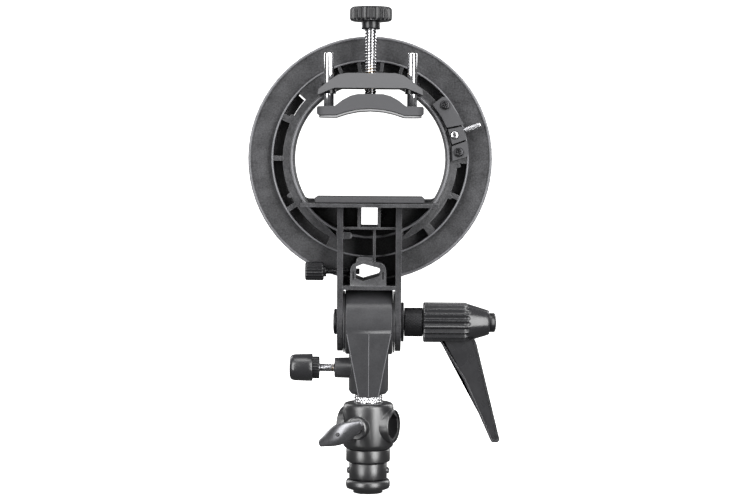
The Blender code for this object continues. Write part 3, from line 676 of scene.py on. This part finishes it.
@dataclass
class Ring:
    """The flash ring, its yoke, the bayonet plate and the platform's rubber pad.

    Attributes:
        centre: middle of the ring, in millimetres.
        mark_radius: distance of the ejector marks from the middle.
        screw_radius: distance of the plate's screws from the middle.
    """

    centre: tuple[float, float, float] = (0.0, 0.0, 206.0)
    mark_radius: float = 54.3
    screw_radius: float = 62.6

    def build(self) -> None:
        """Make the ring, its plate and its pad."""
        refine("ring_frame", "ring_shell", "frame", "black_abs", ERODED_ABS, 0.22)
        refine("mount_plate", "bayonet_plate", "frame", "zinc_steel", ZINC_STEEL, 0.15)
        refine("base_pad", "platform_pad", "frame", "black_rubber", BLACK_RUBBER, 0.4)
        self.beads()
        self.marks()
        for name, angle in (("top", 92.0), ("left", 206.0), ("right", 336.0)):
            self.plate_screw(name, math.radians(angle))

    def beads(self) -> None:
        """Rounded beads at the rim, inside the flange and round the aperture."""
        face_on = placing(self.centre, Axis.MINUS_Y.value)
        for name, radius, low, width, height in (
            ("rim_bead", 74.1, -1.9, 0.75, 0.75),
            ("flange_bead", 60.0, 0.7, 0.6, 0.55),
            ("aperture_bead", 48.1, 0.9, 0.8, 0.5),
        ):
            arch = [math.pi * step / 8 for step in range(9)]
            profile = [(radius + width * math.cos(a), low + height * math.sin(a)) for a in arch]
            profile += [(radius - width, low - 0.5), (radius + width, low - 0.5)]
            bead = make(name, revolved(profile, 192), face_on, angle=60)
            # The beads take the paler ABS: a painted highlight along the ring's edges.
            dress(bead, "frame", "black_abs", ABS_EDGE_HIGHLIGHT)

    def marks(self) -> None:
        """Shallow discs that the mould's ejector pins leave on the inner land."""
        low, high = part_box("ring_frame")
        for index, angle in enumerate((33.0, 64.0, 120.0, 152.0, 180.0, 205.0, 335.0, 356.0)):
            turn = math.radians(angle)
            up = self.centre[2] + self.mark_radius * math.sin(turn)
            at = (self.mark_radius * math.cos(turn), -0.42, up)
            if not low.x < at[0] * MM < high.x:
                continue
            disc = revolved([(0, -0.3), (1.45, -0.3), (1.45, 0.08), (1.2, 0.12), (0, 0.12)], 24)
            made = make(f"ejector_mark_{index}", disc, placing(at, Axis.MINUS_Y.value))
            dress(made, "frame", "black_abs", ERODED_ABS)

    def plate_screw(self, name: str, angle: float) -> None:
        """A cross-recess screw that holds the bayonet plate."""
        up = self.centre[2] + self.screw_radius * math.sin(angle)
        at = (self.screw_radius * math.cos(angle), 22.1, up)
        head = screw_head(2.8, 1.3, Drive.CROSS)
        made = make(f"plate_screw_head_{name}", head, placing(at, Axis.Y.value))
        dress(made, "frame", "black_steel", BLACK_STEEL, f"plate_screw_{name}")


@dataclass
class Clamp:
    """The bridge, jaw, guide pins, main screw and knob that grip the flash.

    Attributes:
        screw_y: how far the screw and pins stand from the ring's middle plane.
        pin_x: distance of each guide pin from the screw.
        knob_radius: over the knob's ribs.
        knob_flutes: number of grooves round the knob.
    """

    screw_y: float = -14.0
    pin_x: float = 25.2
    knob_radius: float = 12.8
    knob_flutes: int = 24

    def build(self) -> None:
        """Make every piece of the clamp."""
        refine("clamp_bridge", "bridge_casting", "frame", "glass_filled_nylon", GLASS_NYLON, 0.5)
        refine("clamp_jaw", "jaw_moulding", "jaw", "satin_nylon", SATIN_NYLON, 0.7, 3)
        refine("jaw_pad", "jaw_sole", "jaw", "grey_rubber", PALE_RUBBER, 0.25)
        self.pins()
        self.main_screw()
        self.knob()
        for side in ("left", "right"):
            keep(f"bridge_screw_{side}", BLACK_STEEL)
        keep("clamp_insert", TURNED_BRASS)

    def pins(self) -> None:
        """Two chromed guide pins and the bushes that they slide in."""
        for side, x in (("left", -self.pin_x), ("right", self.pin_x)):
            up = placing((x, self.screw_y, 0.0), Axis.Z.value)
            profile = [(0, 233.7), (2.8, 233.7), (3.0, 233.9), (3.0, 269.4), (2.75, 269.95)]
            profile += [(2.2, 270.25), (0, 270.3)]
            pin = make(f"guide_pin_rod_{side}", revolved(profile, 48), up, angle=50)
            dress(pin, "jaw", "chrome", CHROME, f"guide_pin_{side}")
            low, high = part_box(f"guide_bush_{side}")
            foot, head = low.z / MM, high.z / MM
            ring = [(3.25, foot), (4.3, foot), (4.5, foot + 0.2), (4.5, head), (3.25, head)]
            bush = make(f"guide_bush_sleeve_{side}", revolved(ring, 48), up)
            dress(bush, "frame", "black_knob", KNOB_PHENOLIC, f"guide_bush_{side}")

    def main_screw(self) -> None:
        """The eight-millimetre screw; its 1.25 mm thread is drawn coarser, so that it shows."""
        rod = threaded_rod(3.8, 1.8, 0.85, 239.8, 291.0, 32)
        place = placing((0, self.screw_y, 0), Axis.Z.value)
        made = make("clamp_screw_thread", rod, place, angle=60)
        dress(made, "clamp_screw", "zinc_steel", CHROME, "clamp_screw")

    def knob(self) -> None:
        """The fluted knob on the main screw, with its dished top and collar."""
        r = self.knob_radius
        profile = finer(
            [
                (0, 284.2), (5.3, 284.2), (5.7, 284.6), (5.7, 288.5), (6.2, 288.9), (11.0, 289.0),
                (12.3, 289.5), (r, 290.5), (r, 295.9), (12.3, 296.9), (11.2, 297.5), (9.6, 297.6),
                (9.0, 297.3), (8.6, 296.9), (0, 296.9),
            ],
            1.2,
        )
        shape = revolved(profile, self.knob_flutes * 10, flutes(self.knob_flutes, 1.0, 12.2, 1.6))
        place = placing((0, self.screw_y, 0), Axis.Z.value)
        made = make("clamp_knob_fluted", shape, place, angle=50)
        dress(made, "clamp_screw", "black_knob", KNOB_PHENOLIC, "clamp_knob")


@dataclass
class Latch:
    """The sprung latch that locks the softbox, with its covers and pull pin.

    Attributes:
        centre_z: height of the ring's middle.
        cover_spots: the covers' screws, as x and height above the middle.
        screw_spot: the slider's screw, in the same way.
        pull_from: the point that the pull pin points away from.
        pull_angle: the pull pin's angle from +X, in degrees.
    """

    centre_z: float = 206.0
    cover_spots: tuple[Point2, Point2] = ((45.6, 33.2), (54.2, 4.4))
    screw_spot: Point2 = (51.6, 14.8)
    pull_from: tuple[float, float, float] = (0.0, -3.2, 203.6)
    pull_angle: float = 19.3

    def build(self) -> None:
        """Make the covers, slider, screws and pull pin."""
        nylon = ("satin_nylon", SATIN_NYLON, 0.35, 3)
        for side, spot in zip(("upper", "lower"), self.cover_spots):
            refine(f"latch_cover_{side}", f"latch_cover_plate_{side}", "frame", *nylon)
            low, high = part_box(f"cover_screw_{side}")
            head = screw_head(2.9, 1.5, Drive.CROSS)
            at = (spot[0], low.y / MM + 1.5, self.centre_z + spot[1])
            place = placing(at, Axis.MINUS_Y.value, 0.4)
            made = make(f"cover_screw_head_{side}", head, place)
            dress(made, "frame", "black_steel", BLACK_STEEL, f"cover_screw_{side}")
        refine("latch_slider", "latch_slider_block", "latch", *nylon)
        low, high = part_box("latch_screw")
        at = (self.screw_spot[0], low.y / MM + 1.8, self.centre_z + self.screw_spot[1])
        head = screw_head(2.4, 1.8, Drive.HEXAGON)
        made = make("latch_screw_socket", head, placing(at, Axis.MINUS_Y.value))
        dress(made, "latch", "chrome", CHROME, "latch_screw")
        self.pull_pin()
        keep("lock_pin", ZINC_STEEL)
        keep("latch_spring", ZINC_STEEL)

    def pull_pin(self) -> None:
        """The knurled pin that pulls the latch back."""
        turn = math.radians(self.pull_angle)
        along = Vector((math.cos(turn), 0.0, math.sin(turn)))
        profile = [(0, 56.5), (0.95, 56.5), (0.95, 61.4), (1.4, 61.4)]
        profile += finer([(1.7, 61.7), (1.7, 71.2)], 0.25) + [(1.4, 71.5), (0, 71.55)]
        shape = revolved(profile, 72, knurl(18, 0.22, 1.6, 1.2))
        made = make("latch_pull_pin", shape, placing(self.pull_from, along), angle=60)
        dress(made, "latch", "zinc_steel", ZINC_STEEL, "latch_handle_pin")


@dataclass
class UmbrellaLock:
    """The thumb screw that grips the umbrella's shaft.

    Attributes:
        y: the screw's place towards the ring.
        z: the screw's height.
        flute_count: grooves round the knob.
    """

    y: float = -6.5
    z: float = 137.2
    flute_count: int = 18

    def build(self) -> None:
        """Make the fluted knob, the threaded stud and the tip."""
        place = placing((0, self.y, self.z), Axis.MINUS_X.value)
        profile = finer(
            [
                (0, 26.4), (3.2, 26.4), (3.4, 26.6), (3.4, 27.9), (4.9, 27.9), (5.5, 28.2),
                (5.7, 28.7), (5.7, 38.3), (5.4, 38.9), (4.8, 39.2), (3.6, 39.2), (3.3, 38.9),
                (0, 38.9),
            ],
            0.9,
        )
        shape = revolved(profile, self.flute_count * 8, flutes(self.flute_count, 0.55, 5.35, 1.4))
        made = make("umbrella_knob_fluted", shape, place, angle=50)
        dress(made, "umbrella_screw", "black_knob", KNOB_PHENOLIC, "umbrella_knob")
        thread = threaded_rod(1.9, 0.7, 0.35, 8.3, 33.0, 24)
        stud = make("umbrella_stud_thread", thread, place, angle=60)
        dress(stud, "umbrella_screw", "black_steel", BLACK_STEEL, "umbrella_stud")
        keep("umbrella_tip", BLACK_STEEL)


@dataclass
class TiltJoint:
    """The pivot bolt, washer, ratchet sleeve and locking lever.

    Attributes:
        z: height of the pivot.
        hub_radius: of the lever's fluted hub.
        hub_flutes: grooves round the hub.
        flute_depth: depth of those grooves.
        flute_end: where they run out, along the pivot.
        arm_half: half the thickness of the lever's arm.
    """

    z: float = 105.7
    hub_radius: float = 12.3
    hub_flutes: int = 20
    flute_depth: float = 1.6
    flute_end: float = 61.4
    arm_half: float = 4.0

    def build(self) -> None:
        """Make every piece on the tilt axis."""
        place = placing((0, 0, self.z), Axis.X.value)
        self.bolt(place)
        self.sleeve(place)
        self.lever(place)
        keep("lever_spring", ZINC_STEEL)

    def bolt(self, place: Matrix) -> None:
        """The bolt's low domed head, its shank and the washer at the other ear."""
        profile = [(0, 19.8), (7.6, 19.8), (7.9, 20.1), (7.9, 21.0), (7.2, 21.6), (5.0, 21.95)]
        profile += [(0, 22.0)]
        left = placing((0, 0, self.z), Axis.MINUS_X.value)
        body = revolved(profile, 64)
        shank = revolved([(0, -38.2), (3.7, -38.2), (4.0, -37.9), (4.0, 20.2), (0, 20.2)], 40)
        join(body, shank)
        made = make("pivot_bolt_head", body, left, angle=50)
        dress(made, "frame", "black_steel", BLACK_STEEL, "pivot_bolt")
        ring = [(4.5, 19.8), (11.8, 19.8), (12.15, 20.1), (12.15, 21.1), (11.8, 21.4), (4.5, 21.4)]
        washer = make("ear_washer_disc", revolved(ring, 72), place)
        dress(washer, "frame", "black_steel", BLACK_STEEL, "ear_washer")

    def sleeve(self, place: Matrix) -> None:
        """The knurled ratchet sleeve and the domed cap of its centre screw."""
        profile = [(4.5, 21.7), (8.6, 21.7)] + finer([(8.95, 22.1), (8.95, 32.9)], 0.4)
        profile += [(8.5, 33.1), (6.0, 33.1), (6.0, 43.0), (4.5, 43.0)]
        shape = revolved(profile, 216, knurl(54, 0.28, 8.9, 2.4))
        made = make("ratchet_sleeve_knurled", shape, place, angle=60)
        dress(made, "lever_core", "black_steel", BLACK_STEEL, "ratchet_sleeve")
        cap = [(0, 44.0), (2.3, 44.0), (2.3, 72.1), (5.7, 72.1), (5.9, 72.4), (5.9, 77.0)]
        cap += [(5.5, 77.6), (4.2, 78.1), (2.2, 78.35), (0, 78.4)]
        dome = make("lever_cap_domed", revolved(cap, 56), place, angle=50)
        dress(dome, "lever_core", "black_knob", KNOB_PHENOLIC, "lever_cap")

    def lever(self, place: Matrix) -> None:
        """The lever: a fluted hub that runs into a smooth cone, and a panelled arm."""
        r = self.hub_radius
        barrel = [(r - 0.5, 33.4), (r, 33.9), (r, 58.6), (r - 0.45, 60.2), (r - 1.1, 61.9)]
        outside = finer(barrel, 0.8)
        cone = finer([(r - 1.1, 61.9), (7.9, 72.6), (7.5, 73.6), (7.2, 74.0)], 1.5)[1:]
        inside = [(6.3, 74.0), (6.3, 72.4), (6.1, 56.0), (6.4, 47.0), (9.3, 46.0), (9.3, 33.4)]

        def scallop(radius: float, height: float, angle: float) -> Point2:
            """Cut the flutes, which end in round scallops where the cone begins."""
            if radius < 9.6 or height > 63.5:
                return radius, height
            wave = (0.5 + 0.5 * math.cos(self.hub_flutes * angle)) ** 0.7
            fade = max(0.0, min(1.0, (self.flute_end - height) / 1.8))
            return radius - self.flute_depth * wave * math.sqrt(fade), height

        hub = revolved(outside + cone + inside, self.hub_flutes * 10, scallop)
        outline = [(43.6, 96.6), (64.6, 96.6), (66.2, 93.2), (81.0, 34.0), (80.4, 32.4)]
        outline += [(79.6, 32.0), (76.4, 32.0), (75.6, 32.6), (58.5, 70.6), (43.6, 94.2)]
        hub.transform(place)
        join(hub, self.arm(outline))
        hub.transform(place.inverted())
        made = make("lever_moulding", hub, place, angle=38)
        round_edges(made, 0.25, 55.0)
        dress(made, "lever", "satin_nylon", LEVER_NYLON, "lever_handle")

    def arm(self, outline: Profile) -> Shape:
        """The lever's arm, with a raised rim round a panel on each side.

        Args:
            outline: the arm's side view, as x and z in millimetres.

        Returns:
            The arm in row metres.
        """
        body = extruded(filleted(outline, 0.8, 3), -self.arm_half, self.arm_half)
        sides = [face for face in body.faces if abs(face.normal.z) > 0.9]
        bmesh.ops.inset_region(body, faces=sides, thickness=0.9, use_even_offset=True)
        bmesh.ops.inset_region(body, faces=sides, thickness=0.35, depth=-1.1, use_even_offset=True)
        upright = Matrix(((MM, 0, 0, 0), (0, 0, MM, 0), (0, MM, 0, 0), (0, 0, 0, 1)))
        body.transform(upright)
        bmesh.ops.recalc_face_normals(body, faces=body.faces)
        return body


@dataclass
class TiltBlock:
    """The block between the ears, its washers and the stand lock screw.

    Attributes:
        lock_z: height of the lock screw.
        seam_foot: depth and height at which the shield's seams start.
        seam_rise: how much deeper and higher they end.
        seam_steps: divisions along a seam.
    """

    lock_z: float = 77.2
    seam_foot: Point2 = (13.62, 60.6)
    seam_rise: Point2 = (5.98, 39.2)
    seam_steps: int = 13

    def build(self) -> None:
        """Make the block and its lock."""
        names = ("tilt_block", "tilt_block_moulding", "tilt_block")
        refine(*names, "black_abs", MOULDED_ABS, 0.45, 3, 34.0)
        self.seams()
        for side in ("left", "right"):
            keep(f"friction_washer_{side}", BLACK_RUBBER)
        keep("boss_insert", TURNED_BRASS)
        keep("stand_lock_tip", TURNED_BRASS)
        place = placing((0, 0, self.lock_z), Axis.MINUS_X.value)
        thread = threaded_rod(2.65, 1.0, 0.5, 10.6, 43.0, 28)
        stud = make("lock_stud_thread", thread, place, angle=60)
        dress(stud, "stand_lock_screw", "zinc_steel", ZINC_STEEL, "lock_stud")
        core_profile = finer([(0, 30.4), (6.5, 30.4), (6.8, 30.7), (6.8, 36.0), (0, 36.0)], 1.0)
        ribbed = revolved(core_profile, 144, flutes(24, 0.35, 6.7))
        core = make("lock_core_ribbed", ribbed, place, angle=50)
        dress(core, "stand_lock_screw", "black_knob", KNOB_PHENOLIC, "lock_core")
        cap_profile = [
            (0, 35.2), (7.4, 35.2), (7.6, 34.7), (8.2, 34.7), (8.4, 35.0), (8.35, 38.0),
            (8.25, 42.0), (8.1, 45.6), (7.7, 47.2), (6.9, 48.2), (5.6, 48.7), (3.0, 48.8),
            (0, 48.8),
        ]
        cap = make("lock_cap_smooth", revolved(cap_profile, 72), place, angle=50)
        dress(cap, "stand_lock_screw", "satin_nylon", LEVER_NYLON, "lock_cap")

    def seams(self) -> None:
        """The raised lines down the middle and both edges of the shield, behind and in front."""
        section = ((-0.3, -0.3), (-0.16, 0.1), (0.16, 0.1), (0.3, -0.3))
        lines = ("edge_left", -5.9, -13.4), ("parting_line", 0.0, 0.0), ("edge_right", 5.9, 13.4)
        for side, towards in (("rear", -1.0), ("front", 1.0)):
            for name, low_x, high_x in lines:
                body = bmesh.new()
                rows = []
                for step in range(self.seam_steps + 1):
                    share = step / self.seam_steps
                    x = low_x + (high_x - low_x) * share
                    y, z = (f + r * share for f, r in zip(self.seam_foot, self.seam_rise))
                    corners = [(x + w, (y + rise) * towards, z) for w, rise in section]
                    rows.append([body.verts.new(corner) for corner in corners])
                for lower, upper in zip(rows, rows[1:]):
                    for index in range(4):
                        after = (index + 1) % 4
                        body.faces.new((lower[index], lower[after], upper[after], upper[index]))
                body.faces.new(rows[0])
                body.faces.new(rows[-1])
                bmesh.ops.recalc_face_normals(body, faces=body.faces)
                made = make(f"shield_{name}_{side}", body, Matrix.Scale(MM, 4))
                # The seams take the paler ABS: a painted highlight along the shield's edges and
                # parting line.
                dress(made, "tilt_block", "black_abs", ABS_EDGE_HIGHLIGHT)


@dataclass
class StandHead:
    """The cast head of the stand, the riser, the spigot and the wing screw.

    Attributes:
        cross_turn: turn of the cross sockets from +X, in degrees.
        wing_z: height of the wing screw.
        wing_span: tip to tip of the wing.
        wing_tilt: slope of the wings across the screw, in degrees.
        wing_twist: twist of each blade at its tip, in degrees.
        wing_out: distance of the wings' middle from the head's axis.
    """

    cross_turn: float = 23.0
    wing_z: float = 41.8
    wing_span: float = 32.0
    wing_tilt: float = 26.0
    wing_twist: float = 30.0
    wing_out: float = 42.7

    def build(self) -> None:
        """Make every piece of the stand head."""
        enamel = ("stand_head", "black_enamel", GLOSS_ENAMEL)
        refine("head_casting", "head_casting_enamelled", *enamel, 0.7, 3, 34.0)
        for side in ("left", "right"):
            refine(f"socket_bush_{side}", f"socket_bush_hexagon_{side}", *enamel, 0.25)
        self.column()
        self.stud()
        self.wing()

    def column(self) -> None:
        """The collar, sleeve, bead, riser tube and rivet below the casting."""
        up = Matrix.Scale(MM, 4)
        rings = {
            "head_collar": [(9.6, 19.4), (13.0, 19.4), (13.5, 19.7), (13.65, 20.3),
                            (13.65, 26.6), (13.4, 27.3), (12.8, 27.6), (9.6, 27.6)],
            "head_sleeve": [(9.6, 8.8), (11.3, 8.8), (11.6, 9.0), (11.75, 9.4),
                            (11.75, 18.5), (11.5, 18.9), (11.0, 19.1), (9.6, 19.1)],
            "bottom_bead": [(9.6, 2.5), (12.2, 2.5), (13.1, 2.9), (13.6, 3.9), (13.7, 5.4),
                            (13.6, 6.9), (13.1, 7.9), (12.2, 8.3), (9.6, 8.3)],
            "riser_tube": [(7.9, 0.0), (8.9, 0.0), (9.1, 0.2), (9.1, 32.7), (8.9, 32.9),
                           (7.9, 32.9)],
        }
        for node, profile in rings.items():
            made = make(node + "_turned", revolved(profile, 96), up, angle=50)
            dress(made, "stand_head", "black_enamel", GLOSS_ENAMEL, node)
        keep("cross_rivet", CHROME)

    def stud(self) -> None:
        """The chromed spigot that the tilt block turns on, with its knurled shoulder."""
        profile = [(0, 34.9), (7.8, 34.9), (8.0, 35.1), (8.0, 56.0), (8.6, 56.2)]
        profile += finer([(8.95, 56.5), (8.95, 59.8)], 0.3) + [(8.6, 60.1), (8.0, 60.1)]
        profile += [(8.0, 89.2), (7.3, 90.0), (0, 90.0)]
        shape = revolved(profile, 160, knurl(32, 0.5, 8.9, 2.0))
        made = make("spigot_knurled", shape, Matrix.Scale(MM, 4), angle=50)
        dress(made, "stand_head", "chrome", CHROME, "spigot")

    def wing(self) -> None:
        """The wing screw: threaded stud, hub and two cupped wings."""
        turn = math.radians(self.cross_turn)
        out = Vector((-math.sin(turn), -math.cos(turn), 0.0))
        place = placing((0, 0, self.wing_z), out)
        thread = threaded_rod(3.8, 1.25, 0.6, 10.6, 42.0, 28)
        stud = make("wing_stud_thread", thread, place, angle=60)
        dress(stud, "wing_screw", "zinc_steel", ZINC_STEEL, "wing_stud")
        keep("wing_tip", TURNED_BRASS)
        handle = make("wing_casting", self.wing_shape(), place, angle=60)
        smoothing = handle.modifiers.new("rounding", "SUBSURF")
        smoothing.levels = smoothing.render_levels = 2
        dress(handle, "wing_screw", "satin_casting", DIE_CAST, "wing_handle")
        stud_end = revolved([(0, 44.0), (1.15, 44.0), (1.15, 46.9), (0.75, 47.3), (0, 47.3)], 24)
        made = make("wing_stud_end", stud_end, place, angle=40)
        dress(made, "wing_screw", "black_steel", BLACK_STEEL)

    def wing_shape(self) -> Shape:
        """The wing: a dimpled hub that runs out into two twisted blades."""
        body = bmesh.new()
        tilt = math.radians(self.wing_tilt)
        half_span = self.wing_span / 2.0
        rows = []
        for step in range(-8, 9):
            share = step / 8.0
            along = half_span * share
            half_width = 2.4 + 4.2 * math.cos(math.pi / 2 * share) ** 1.3
            half_depth = 1.3 + 2.3 * math.cos(math.pi / 2 * share) ** 2
            middle = self.wing_out - 1.2 * share * share
            twist = math.radians(self.wing_twist) * share
            row = []
            for corner in range(8):
                angle = FULL_TURN * (corner + 0.5) / 8
                across = half_width * 1.06 * math.cos(angle)
                out = half_depth * 1.06 * math.sin(angle)
                across, out = (
                    across * math.cos(twist) - out * math.sin(twist),
                    across * math.sin(twist) + out * math.cos(twist),
                )
                x = along * math.cos(tilt) - across * math.sin(tilt)
                y = along * math.sin(tilt) + across * math.cos(tilt)
                row.append(body.verts.new((x, y, middle + out)))
            rows.append(row)
        for low, high in zip(rows, rows[1:]):
            for corner in range(8):
                after = (corner + 1) % 8
                body.faces.new((low[corner], low[after], high[after], high[corner]))
        body.faces.new(rows[0])
        body.faces.new(rows[-1])
        neck = [(4.2, 33.0), (5.7, 33.0), (6.0, 33.6), (6.0, 41.0), (5.4, 43.0), (4.2, 43.0)]
        join(body, revolved(neck, 24))
        bmesh.ops.recalc_face_normals(body, faces=body.faces)
        return body


# ---------------------------------------------------------------- studio


@dataclass
class Studio:
    """The pale floor and backdrop, the soft lights and the camera.

    Attributes:
        eye: the camera's place, in metres.
        aim: the point that it looks at, in metres.
        lens: focal length on a 36 mm sensor.
        roll: the camera's roll, in degrees.
        surround: strength of the even light from all round.
        glow: how brightly the paper is lit from behind, which leaves no shadow on it.
        reach: how far the floor comes forward and the backdrop goes up, in metres.
        bend_y: where the floor starts to curve up.
        bend_radius: radius of that curve.
        half_width: half the paper's width.
    """

    eye: tuple[float, float, float] = (0.0034, -1.15, 0.206)
    aim: tuple[float, float, float] = (0.0034, 0.0, 0.150)
    lens: float = 89.8
    roll: float = 0.4
    surround: float = 0.16
    glow: float = 1.0
    reach: float = 3.0
    bend_y: float = 1.2
    bend_radius: float = 0.8
    half_width: float = 4.0

    def build(self) -> None:
        """Make the floor, the lights and the camera."""
        self.sweep()
        self.lights()
        self.camera()

    def sweep(self) -> None:
        """A back-lit floor that curves up into the backdrop, flagged off from the object."""
        body = bmesh.new()
        r = self.bend_radius
        bend = [math.pi / 2 * i / 16 for i in range(1, 17)]
        path = [(-self.reach, 0.0), (self.bend_y, 0.0)]
        path += [(self.bend_y + r * math.sin(a), r - r * math.cos(a)) for a in bend]
        path += [(self.bend_y + r, self.reach)]
        sides = (-self.half_width, self.half_width)
        rows = [[body.verts.new((x, y, z)) for x in sides] for y, z in path]
        for low, high in zip(rows, rows[1:]):
            body.faces.new((low[0], low[1], high[1], high[0]))
        floor = linked("studio_floor", meshed("studio_floor", body))
        floor.data.shade_smooth()
        paper = Finish("white_sweep", "#fdfdfd", "#ffffff", 0.9, 0.8, 0.005, 0.01, 0.0).build()
        shader = paper.node_tree.nodes["Principled BSDF"]
        shader.inputs["Emission Color"].default_value = linear("#ffffff")
        shader.inputs["Emission Strength"].default_value = self.glow
        floor.data.materials.append(paper)
        floor.visible_glossy = floor.visible_diffuse = False

    def lights(self) -> None:
        """Two tall soft boxes in front, a top light, two lights behind and a dim surround."""
        world = bpy.data.worlds.new("dim_surround")
        world.use_nodes = True
        back = world.node_tree.nodes["Background"]
        back.inputs["Color"].default_value = (1.0, 1.0, 1.0, 1.0)
        back.inputs["Strength"].default_value = self.surround
        bpy.context.scene.world = world
        subject = Vector((0.0, 0.0, 0.14))
        for name, at, size, power in (
            ("soft_box_left", (-0.8, -0.95, 0.4), (0.65, 1.5), 22.0),
            ("soft_box_right", (0.75, -1.0, 0.4), (0.65, 1.5), 27.0),
            ("edge_light_left", (-0.9, 0.9, 0.6), (0.4, 1.2), 8.0),
            ("edge_light_right", (0.9, 0.9, 0.6), (0.4, 1.2), 8.0),
            ("top_light", (0.0, -0.4, 1.4), (0.9, 0.7), 9.0),
        ):
            lamp = bpy.data.lights.new(name, "AREA")
            lamp.shape = "RECTANGLE"
            lamp.size, lamp.size_y = size
            lamp.energy = power
            obj = linked(name, lamp)
            obj.location = at
            obj.rotation_euler = (subject - Vector(at)).to_track_quat("-Z", "Y").to_euler()
        bpy.context.scene.view_settings.view_transform = "Standard"

    def camera(self) -> None:
        """A long lens at the ring's height."""
        lens = bpy.data.cameras.new("camera")
        lens.lens = self.lens
        lens.sensor_width = 36.0
        obj = linked("camera", lens)
        obj.location = self.eye
        look = (Vector(self.aim) - Vector(self.eye)).to_track_quat("-Z", "Y")
        roll = Matrix.Rotation(math.radians(self.roll), 3, "Z")
        obj.rotation_euler = (look.to_matrix() @ roll).to_euler()
        bpy.context.scene.camera = obj


def main() -> None:
    """Build each sub-assembly in order."""
    logging.basicConfig(level=logging.INFO, format="%(message)s")
    for kind in (Ring, Clamp, Latch, UmbrellaLock, TiltJoint, TiltBlock, StandHead, Studio):
        LOG.info("%s", kind.__name__)
        kind().build()


if __name__ == "__main__":
    main()
